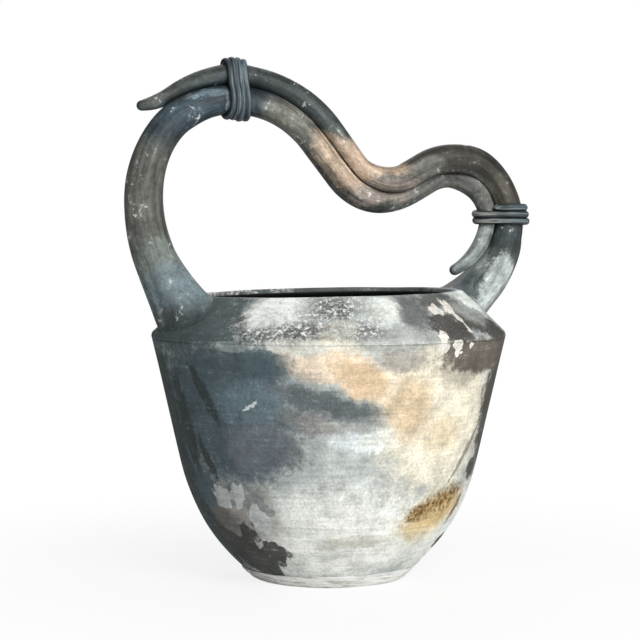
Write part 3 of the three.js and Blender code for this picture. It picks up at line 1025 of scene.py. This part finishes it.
# %% [markdown]
# ## Noise and colour on clay
# Fired clay is never one flat colour. Every finish has a ground that other colours cover through masks,
# and noise then darkens and lightens the whole. Colours are written as on a paint chart and turned into
# the linear light that shaders use.

# %% Tools for clay colours
mix_mask = 0
mix_under = 6
mix_over = 7
mix_result = 2
clay_shine = 0.3


def shade(code):
    """A colour written as #rrggbb, in linear light."""
    channels = [int(code[place:place + 2], 16) / 255 for place in (1, 3, 5)]
    return tuple(((c + 0.055) / 1.055) ** 2.4 if c > 0.04 else c / 12.92 for c in channels) + (1.0,)


def cover(colour, over, mask):
    """A colour with another laid over it where a mask is 1; each is a code or a value."""
    pair = [shade(given) if isinstance(given, str) else given for given in (colour, over)]
    sockets = {mix_mask: mask, mix_under: pair[0], mix_over: pair[1]}
    return mask.finish.add("Mix", {"data_type": "RGBA"}, sockets, mix_result)


def mottled(colour, value, strength):
    """Darken and lighten a colour by a noise, whose middle leaves it as it is."""
    settings = {"data_type": "RGBA", "blend_type": "MULTIPLY", "clamp_result": True}
    grey = value * (2 * strength) + (1 - strength)
    sockets = {mix_mask: 1.0, mix_under: colour, mix_over: grey}
    return value.finish.add("Mix", settings, sockets, mix_result)


def between(value, stops):
    """1 between the two inner stops, falling to 0 at the outer ones."""
    start, full, still_full, end = stops
    return ramp(value, start, full) * ramp(value, end, still_full)


def cloud(place, scale, detail=5.0, roughness=0.6, output="Fac"):
    sockets = {"Vector": place, "Scale": scale, "Detail": detail, "Roughness": roughness}
    return place.finish.add("TexNoise", None, sockets, output)


def scaled(place, scale):
    return place.finish.add("Mapping", None, {"Vector": place, "Scale": scale})


def part(place, axis):
    return place.finish.add("SeparateXYZ", None, {0: place}, axis)


def laid_flat(across, up):
    return across.finish.add("CombineXYZ", None, {0: across, 1: up})


def kept(finish, name, output="Fac"):
    """A number or vector that the mesh keeps at its points."""
    return finish.add("Attribute", {"attribute_name": name}, None, output)


def clay_surface(colour, roughness, relief, depth):
    finish = relief.finish
    bump = finish.add("Bump", None, {"Height": relief, "Distance": depth})
    sockets = {"Base Color": colour, "Roughness": roughness, "Normal": bump}
    sockets["Specular IOR Level"] = clay_shine
    return finish.surface(finish.add("BsdfPrincipled", None, sockets))


print("ash white in linear light:", [round(c, 2) for c in shade("#e0e2da")])

# %% [markdown]
# ## Tools for fire marks
# In a smoke firing, ash leaves white, metal salts leave peach and ochre, and smothered flame leaves slate
# and soot. Each mark is an oval, and a layer is the union of some ovals in one colour. Noise moves the
# place that is compared with the ovals, and more noise eats into their rims. Smoke has wide soft rims,
# brushed ash has narrow torn ones, and flakes follow the straight edges of small cells.

# %% Layers of marks
noise_middle = (0.5, 0.5, 0.5)
billow_reach = 22
torn_reach = 10
brush_reach = 14
flake_reach = 6
flake_cells = 0.16
far_off = 9.0
rims = {"smoke": 0.4, "brush": 0.2, "flake": 0.05}
rim_dust = {"smoke": 1.3, "brush": 1.5, "flake": 0.5}


def moved(place, noise_colour, reach):
    centred = vectors("SUBTRACT", noise_colour, noise_middle)
    return vectors("MULTIPLY_ADD", centred, (reach, reach, reach), place)


def edge_kinds(flat, place):
    """For each kind of rim, the place to compare and the noise on the rim."""
    billow = cloud(place, 20, output="Color")
    torn = cloud(place, 85, detail=8, roughness=0.7, output="Color")
    dust = cloud(place, 190, detail=8, roughness=0.75) - 0.5
    chipped = {"Vector": moved(flat, torn, flake_reach), "Scale": flake_cells}
    compared = {
        "smoke": moved(moved(flat, billow, billow_reach), torn, torn_reach),
        "brush": moved(flat, torn, brush_reach),
        "flake": flat.finish.add("TexVoronoi", None, chipped, "Position"),
    }
    return {kind: (compared[kind], dust * rim_dust[kind]) for kind in rims}


def oval_reach(flat, centre, half_size, tilt=0):
    """How far each place lies from an oval's centre, as a share of the way to its rim."""
    if tilt:
        slope = math.radians(tilt)
        axes = [(math.cos(slope), math.sin(slope), 0), (-math.sin(slope), math.cos(slope), 0)]
        centre = [axis[0] * centre[0] + axis[1] * centre[1] for axis in axes]
        flat = laid_flat(*[vectors("DOT_PRODUCT", flat, axis, output="Value") for axis in axes])
    shares = vectors("MULTIPLY", flat, (1 / half_size[0], 1 / half_size[1], 0))
    middle = (centre[0] / half_size[0], centre[1] / half_size[1], 0)
    return vectors("DISTANCE", shares, middle, output="Value")


def layer(kinds, kind, ovals, unit=1.0):
    """The mask of one layer; an oval is its place in units and mm, its half sizes in mm, and any tilt."""
    flat, rim_noise = kinds[kind]
    nearest = far_off
    for across, height, wide, tall, *tilt in ovals:
        nearest = oval_reach(flat, (across * unit, height), (wide, tall), *tilt) & nearest
    return ramp(nearest + rim_noise, 1 + rims[kind], 1 - rims[kind])


print("widths of the rims:", rims)

# %% [markdown]
# ## Fire marks on the vessel
# The wall is laid flat, as degrees round the axis from the front and mm up. A painted picture could show
# the same, but ovals stay sharp at any size and keep their place when the form changes. The layers lie in
# the order in which the fire left them. Crumbs of ash and burnt salt come last, and a noise breaks them
# into specks, from a bare to a full level. The unseen back gets its colours from clouds.

# %% Layers of the vessel
mm_per_m = 1000
mm_per_degree = 2.1

# Each row: the kind of rim, the colour, how strongly it covers, and its ovals
vessel_layers = [
    ("smoke", "#e6e8e2", 1.0, [(-8, 42, 90, 36), (50, 42, 50, 36), (-2, 190, 40, 12)]),
    ("brush", "#d5dcdc", 0.9, [(-3, 117, 30, 9), (2, 204, 18, 12)]),
    ("smoke", "#e5dec9", 1.0, [(27, 128, 56, 50), (12, 168, 28, 16), (-12, 190, 22, 9)]),
    ("smoke", "#c6ae8b", 0.78, [(11, 139, 19, 24, 8)]),
    ("smoke", "#d3c2a3", 0.75, [(28, 119, 20, 12)]),
    ("brush", "#e4d4be", 1.0, [(-17, 171, 34, 13, -6), (-6, 160, 25, 12, -28)]),
    ("smoke", "#d0b794", 0.9, [(-7, 163, 24, 12, -28)]),
    ("smoke", "#8f8b85", 0.8, [
        (-52, 60, 32, 26), (7.5, 174, 16, 8), (-26, 130, 26, 7, -6), (-31, 109, 12, 15),
    ]),
    ("smoke", "#4b5a60", 1.0, [
        (-60, 138, 70, 60), (-42, 166, 30, 28), (-47, 108, 40, 24), (-95, 95, 56, 120),
        (-76, 62, 30, 46),
    ]),
    ("smoke", "#8f9290", 0.8, [(-6, 129, 16, 5, -10)]),
    ("smoke", "#5b6264", 1.0, [(-17, 143.5, 38, 9.5, -11)]),
    ("smoke", "#646a72", 0.9, [(-42, 110, 28, 20)]),
    ("smoke", "#70858c", 0.6, [(-44, 144, 26, 15)]),
    ("smoke", "#6a6761", 0.85, [(-66, 47, 20, 22)]),
    ("brush", "#2b3331", 0.78, [
        (-62.5, 147, 5, 24, 26), (-77, 125, 9, 36, 6), (-67, 98, 4.5, 18, 28), (-80, 40, 16, 28, 10),
        (-100, 95, 40, 110),
    ]),
    ("flake", "#c3c9c8", 0.75, [
        (-63, 71, 10, 8), (-54, 73, 8, 8), (-46, 56, 11, 9), (-69, 75, 4, 3),
    ]),
    ("flake", "#3e403d", 0.95, [
        (-63, 25, 34, 17, -18), (-43, 29, 14, 10), (-52, 13, 18, 8), (-55, 44, 10, 8),
    ]),
    ("flake", "#7b807f", 0.85, [(-44, 68, 9, 6, -30)]),
    ("smoke", "#dccfa9", 0.8, [(33, 58, 40, 18, 12)]),
    ("smoke", "#d0b683", 0.9, [(33, 58, 33, 13, 14)]),
    ("smoke", "#a9854d", 0.55, [(33, 66, 30, 4.5, 17), (23, 60, 9, 6), (50, 61, 4, 12, -20)]),
    ("smoke", "#a79f8a", 0.4, [(-8, 38, 34, 4)]),
    ("brush", "#332f29", 0.95, [(63, 138, 30, 54), (54, 88, 10, 9), (58, 31, 16, 5)]),
    ("brush", "#7c776c", 0.8, [(44, 104, 28, 2.4, 52)]),
    ("smoke", "#97989a", 0.7, [(20.5, 79, 4, 6)]),
    ("smoke", "#8a8478", 0.6, [(29, 165, 24, 10)]),
    ("brush", "#5a5148", 0.95, [(45, 174, 50, 13), (28, 180, 14, 6)]),
    ("brush", "#4f5a5c", 0.95, [(-84, 203, 84, 26), (-54, 196, 30, 16)]),
    ("smoke", "#606161", 0.9, [
        (15, 207, 19, 13), (-14, 209, 16, 7), (-28, 194, 26, 8), (-3, 195, 12, 8),
    ]),
    ("smoke", "#8d918e", 0.75, [(6, 189, 34, 9)]),
    ("brush", "#dedcd0", 1.0, [(-26, 184, 21, 6), (-12, 196, 9, 6)]),
    ("brush", "#9aa5a6", 0.6, [(-48, 183, 14, 4)]),
    ("brush", "#484541", 0.95, [(28, 195, 20, 11), (43, 203, 28, 12), (54, 192, 20, 9)]),
    ("smoke", "#a6aaa4", 0.8, [(46, 204, 21, 8)]),
    ("smoke", "#4e4f4d", 0.9, [(31, 214, 22, 6)]),
    ("flake", "#e2ddd3", 0.95, [
        (26, 209, 8, 4, 20), (33, 207, 5, 7), (21, 186, 4, 6), (27, 181, 3, 5), (33, 183, 2, 5),
        (35, 192, 3, 4),
    ]),
    ("smoke", "#dde1da", 0.95, [(4, 209, 13, 9)]),
    ("brush", "#e2e7e2", 1.0, [(60, 213, 30, 8), (56, 215, 14, 4)]),
    ("brush", "#8d908d", 0.9, [(-138, 217, 90, 6)]),
    ("brush", "#565a58", 0.9, [(150, 217, 100, 6)]),
]
# Each row: the kind of rim, the colour, the bare and the full level, and the ovals
crumb_layers = [
    ("smoke", "#94703a", 0.48, 0.54, [(33, 66, 34, 9, 17), (23, 59, 14, 8), (50, 61, 5, 14, -20)]),
    ("smoke", "#5a3f1c", 0.54, 0.60, [(33, 66, 31, 6, 17), (24, 60, 11, 6), (50, 61, 4, 12, -20)]),
    ("smoke", "#a3b3b7", 0.56, 0.66, [(-43, 146, 26, 16)]),
    ("smoke", "#eef0ea", 0.46, 0.54, [(-124, 218, 40, 7), (-158, 218, 40, 5)]),
    ("smoke", "#eef1eb", 0.47, 0.55, [(-31, 203, 36, 18), (-13, 204, 34, 15)]),
    ("smoke", "#f6f9f4", 0.32, 0.39, [(-38, 209, 22, 11)]),
    ("smoke", "#c6c9c4", 0.56, 0.66, [(30, 200, 44, 18)]),
    ("brush", "#dfe8ea", 0.30, 0.40, [(-43.5, 141, 7, 1.3, 35)]),
]

print("vessel:", len(vessel_layers), "layers of marks and", len(crumb_layers), "of crumbs")

# %% [markdown]
# ## The vessel's finish
# The scored joint is sunk into the surface, and a paler strip runs along it across the front.
# Over the marks of fire lie those of making: blotches, flecks, the scrapes of a rib turned round the
# wall, and dust. Everything inside is coloured near black.

# %% Finish of the vessel
score_stops = (0.1834, 0.1841, 0.1846, 0.1853)
joint_strip_heights = (0.1800, 0.1840, 0.1850, 0.1880)
joint_strip_turns = (-135, -85, 40, 62)
back_starts = 0.03
back_full = 0.09
mm_per_radian = math.degrees(mm_per_degree)


def make_vessel_finish():
    finish = Finish(bpy.data.materials.new("smoke_fired_vessel"))
    place = finish.place()
    across, depth, height = (part(place, axis) for axis in "XYZ")
    turn = finish.add("Math", {"operation": "ARCTAN2"}, {0: across, 1: depth * -1}) * mm_per_radian
    kinds = edge_kinds(laid_flat(turn, height * mm_per_m), place)
    clouds = cloud(place, 12)
    blotch = cloud(place, 70, detail=8, roughness=0.7)
    crumbs = cloud(place, 330, detail=8, roughness=0.8)
    fleck = cloud(place, 520, detail=6, roughness=0.75)
    grain = cloud(place, 900, detail=3, roughness=0.7)
    scraped = cloud(scaled(place, (18, 18, 420)), 1, detail=6, roughness=0.7)

    colour = cover("#b8bdb9", "#a5acaa", ramp(clouds, 0.35, 0.65))
    for kind, code, strength, ovals in vessel_layers:
        colour = cover(colour, code, layer(kinds, kind, ovals, mm_per_degree) * strength)
    colour = cover(colour, "#4a5659", ramp(depth, back_starts, back_full) * ramp(clouds, 0.42, 0.58))
    crust = 0.0
    for kind, code, bare, full, ovals in crumb_layers:
        mask = layer(kinds, kind, ovals, mm_per_degree) * ramp(crumbs, bare, full)
        colour = cover(colour, code, mask)
        crust = mask | crust

    # A paler strip along the scored joint, across the front
    joint_strip = between(height, joint_strip_heights) * between(turn, joint_strip_turns)
    colour = cover(colour, "#d4d8d4", joint_strip * ramp(blotch + scraped * 0.5, 0.65, 0.95) * 0.6)
    for value, strength in ((blotch, 0.8), (fleck, 0.7), (scraped, 0.4)):
        colour = mottled(colour, value, strength)
    dusty = ramp(fleck * 0.6 + scraped * 0.8 + blotch * 0.6, 1.1, 1.36)
    colour = cover(colour, "#e6eae8", dusty * 0.45)
    colour = cover(colour, "#3d3b37", ramp(grain, 0.36, 0.26) * 0.5)
    colour = cover(colour, "#161718", ramp(kept(finish, "inside"), 0.2, 0.8))
    scored = between(height, score_stops)
    relief = grain * 0.4 + fleck * 0.4 + crust * 0.7 + scraped * 0.3 - scored * 0.8
    return clay_surface(colour, roughness=0.55 + clouds * 0.25, relief=relief, depth=0.0007)


vessel_finish = make_vessel_finish()

# %% [markdown]
# ## Bare clay on the foot
# The foot was wiped and never burnished, so it is the palest and the roughest part. Thin darker lines
# follow its layers, and white crumbs gather along its top edge.

# %% Foot finish
def make_foot_finish():
    finish = Finish(bpy.data.materials.new("bare_foot_clay"))
    place = finish.place()
    layers = cloud(scaled(place, (45, 45, 520)), 1, detail=7, roughness=0.75)
    grain = cloud(place, 420, detail=6, roughness=0.75)
    clouds = cloud(place, 30)
    colour = cover("#fafaf2", "#f0f2ea", ramp(clouds, 0.4, 0.65))
    colour = cover(colour, "#8b918a", ramp(layers, 0.50, 0.38) * 0.75)
    crumbs = ramp(layers * 1.4 + grain + kept(finish, "rise") * 0.2, 1.27, 1.42)
    colour = cover(colour, "#ffffff", crumbs)
    colour = cover(colour, "#77736a", ramp(grain, 0.38, 0.28) * 0.5)
    relief = layers + grain * 0.8
    return clay_surface(colour, roughness=0.86 - clouds * 0.1, relief=relief, depth=0.0014)


foot_finish = make_foot_finish()

# %% [markdown]
# ## Smoke on the vines
# The vines stood highest in the smoke, so they are slate and brown. A tan blush crosses the middle of the
# handle, a blue bloom sits on the thick root, and a pale one on the slim root. The handle is flat enough
# for its marks to be ovals in its own plane, in mm across and up. A few ovals near the left lashing and
# the slim root are painted shadow and highlight.

# %% Layers of the vines
# Each row is as for the vessel, in mm across and up
vine_layers = [
    ("smoke", "#64655f", 0.9, [(-142, 290, 24, 46)]),
    ("smoke", "#3d4d56", 0.9, [(-102, 357, 44, 16, 22), (-70, 366, 26, 12)]),
    ("smoke", "#433f39", 0.9, [(98, 318, 52, 24)]),
    ("smoke", "#7a7a74", 0.8, [(75, 313, 14, 7, 15)]),
    ("smoke", "#544f44", 0.9, [(145, 288, 22, 22)]),
    ("smoke", "#7d857e", 0.9, [(-134, 244, 16, 14)]),
    ("smoke", "#7f9095", 0.9, [(-122, 224, 24, 18)]),
    ("smoke", "#505a5c", 1.0, [(-112, 194, 60, 16)]),
    ("smoke", "#75756c", 0.9, [(-33, 349, 22, 11, -35)]),
    ("smoke", "#b7a28d", 1.0, [(2, 322, 22, 12, -48), (20, 312, 18, 12, -30), (16, 303, 16, 9, -35)]),
    ("smoke", "#b9a38d", 1.0, [(36, 316, 21, 9, -14), (20, 328, 12, 6, -40)]),
    ("flake", "#e5dfd2", 0.9, [(37, 323, 8, 4), (24, 331, 5, 3, -40), (6, 343, 5, 3, -40)]),
    ("smoke", "#9b9086", 0.9, [(46, 293, 30, 10, 8)]),
    ("smoke", "#6a6b66", 0.9, [(86, 299, 20, 8, 22), (112, 301, 14, 9), (127, 286, 8, 16)]),
    # Painted shadow beside the left lashing, on both vines
    ("smoke", "#232c31", 0.8, [(-56, 372, 12, 12), (-80, 361, 6, 12)]),
    # Painted highlight along the thick vine's top edge and on the rim of its pinched end
    ("brush", "#7f929a", 0.6, [(-96, 367, 17, 3, 8), (-81, 362, 3, 8)]),
    ("brush", "#444c4b", 0.95, [(-14, 361, 44, 10, -38), (8, 344, 10, 6, -38)]),
    # Partly pale marks on the slim root's inner side, partly a painted highlight on the thick vine's tail
    ("smoke", "#9aa29f", 0.9, [(124, 255, 10, 22, -24), (112, 239, 12, 9)]),
    ("smoke", "#3d4647", 0.9, [(144, 261, 13, 15), (154, 275, 8, 9)]),
    ("smoke", "#5f696c", 0.8, [(114, 224, 12, 18, 40)]),
    ("brush", "#bfc8c4", 0.95, [(133, 226, 11, 24, -30), (137, 210, 16, 20)]),
    ("smoke", "#363e3f", 0.9, [(151, 257, 9, 24)]),
    ("smoke", "#a9afac", 1.0, [(118, 197, 70, 15)]),
]

print("vines:", len(vine_layers), "layers of marks")

# %% [markdown]
# ## The vines' finish
# Noise drawn out along each roll of clay makes streaks under a satin polish. Shade is painted where the
# vines meet and under the upper vine on the big arch, and ash left white specks.

# %% Finish of the vines
smoked = 0.05


def make_vine_finish():
    finish = Finish(bpy.data.materials.new("smoked_vine_clay"))
    place = finish.place()
    kinds = edge_kinds(laid_flat(*[part(place, axis) * mm_per_m for axis in "XZ"]), place)
    clouds = cloud(place, 55, detail=7, roughness=0.7)
    fleck = cloud(place, 300, detail=7, roughness=0.75)
    grain = cloud(place, 650, detail=3, roughness=0.65)
    lie = kept(finish, "lie", "Vector")
    streak = cloud(scaled(lie, (14, 150, 150)), 1, detail=6, roughness=0.7)

    colour = cover("#454c4b", "#5d615d", ramp(clouds, 0.36, 0.64))
    for kind, code, strength, ovals in vine_layers:
        colour = cover(colour, code, layer(kinds, kind, ovals) * strength)
    for value, strength in ((clouds, 1.1), (streak - smoked, 1.6), (fleck, 0.9)):
        colour = mottled(colour, value, strength)
    # Painted shade where the vines meet, widest under the upper vine on the big arch
    colour = cover(colour, "#14191b", ramp(kept(finish, "crease_shade") + fleck * 0.4, 0.55, 1.15) * 0.9)
    colour = cover(colour, "#25292a", ramp(grain, 0.42, 0.3) * 0.45)
    colour = cover(colour, "#dfe2dc", ramp(fleck + clouds, 1.15, 1.24) * 0.8)
    relief = grain * 0.4 + fleck * 0.4 + streak * 0.4
    return clay_surface(colour, roughness=0.42 + clouds * 0.25, relief=relief, depth=0.0005)


vine_finish = make_vine_finish()

# %% [markdown]
# ## Charcoal on the lashings
# The cords took the most soot. They are near black with a soft sheen, and with paler lines along them that
# are dusty at the inner end of the right lashing. The grooves between the turns get painted shade.

# %% Lashing finish
groove_shade_start = 0.0013
groove_shade_full = 0.0024
dusty_stops = (0.0, 0.1, 0.130, 0.152)


def make_lashing_finish():
    finish = Finish(bpy.data.materials.new("charcoal_cord_clay"))
    place = finish.place()
    lie = kept(finish, "lie", "Vector")
    streak = cloud(scaled(lie, (40, 700, 700)), 1, detail=4, roughness=0.6)
    grain = cloud(place, 700, detail=3, roughness=0.6)
    rubbed = cover("#6b797e", "#94978f", between(part(place, "X"), dusty_stops))
    colour = cover("#343d41", rubbed, ramp(streak, 0.4, 0.65))
    beside = part(lie, "Z")
    # Painted shade on the cord's sides, where one turn meets the next
    groove_shade = ramp(beside | 0 - beside, groove_shade_start, groove_shade_full)
    colour = cover(colour, "#0f1315", groove_shade * 0.85)
    colour = cover(colour, "#1c2022", ramp(grain, 0.42, 0.3) * 0.5)
    relief = grain * 0.4 + streak * 0.6
    return clay_surface(colour, roughness=0.42 + streak * 0.15, relief=relief, depth=0.0003)


lashing_finish = make_lashing_finish()

# %% [markdown]
# ## Putting the pieces in the frame
# Each piece takes its finish, rides on the one body of the vase and hides the solid that it stands for,
# so that the solid isn't shown twice.

# %% Dress the frame
dressed = [
    (bowl, vessel_finish, "bowl_clay", "bowl_wall"),
    (shoulder, vessel_finish, "shoulder_clay", "shoulder"),
    (foot, foot_finish, "foot_clay", "base_slab"),
    (left_vine, vine_finish, "vine_clay", "left_vine"),
    (right_vine, vine_finish, "vine_clay", "right_vine"),
    (left_collar, vine_finish, "vine_clay", "left_root_fillet"),
    (right_collar, vine_finish, "vine_clay", "right_root_fillet"),
    (left_lashing, lashing_finish, "lashing_clay", "left_lashing"),
    (right_lashing, lashing_finish, "lashing_clay", "right_lashing"),
]
for piece, material, slot, node in dressed:
    piece.data.materials.append(material)
    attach(piece, "root")
    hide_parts(node)
print("dressed:", [piece.name for piece, material, slot, node in dressed])

# %% [markdown]
# ## The size of the result
# A finish must not change the size of the object.
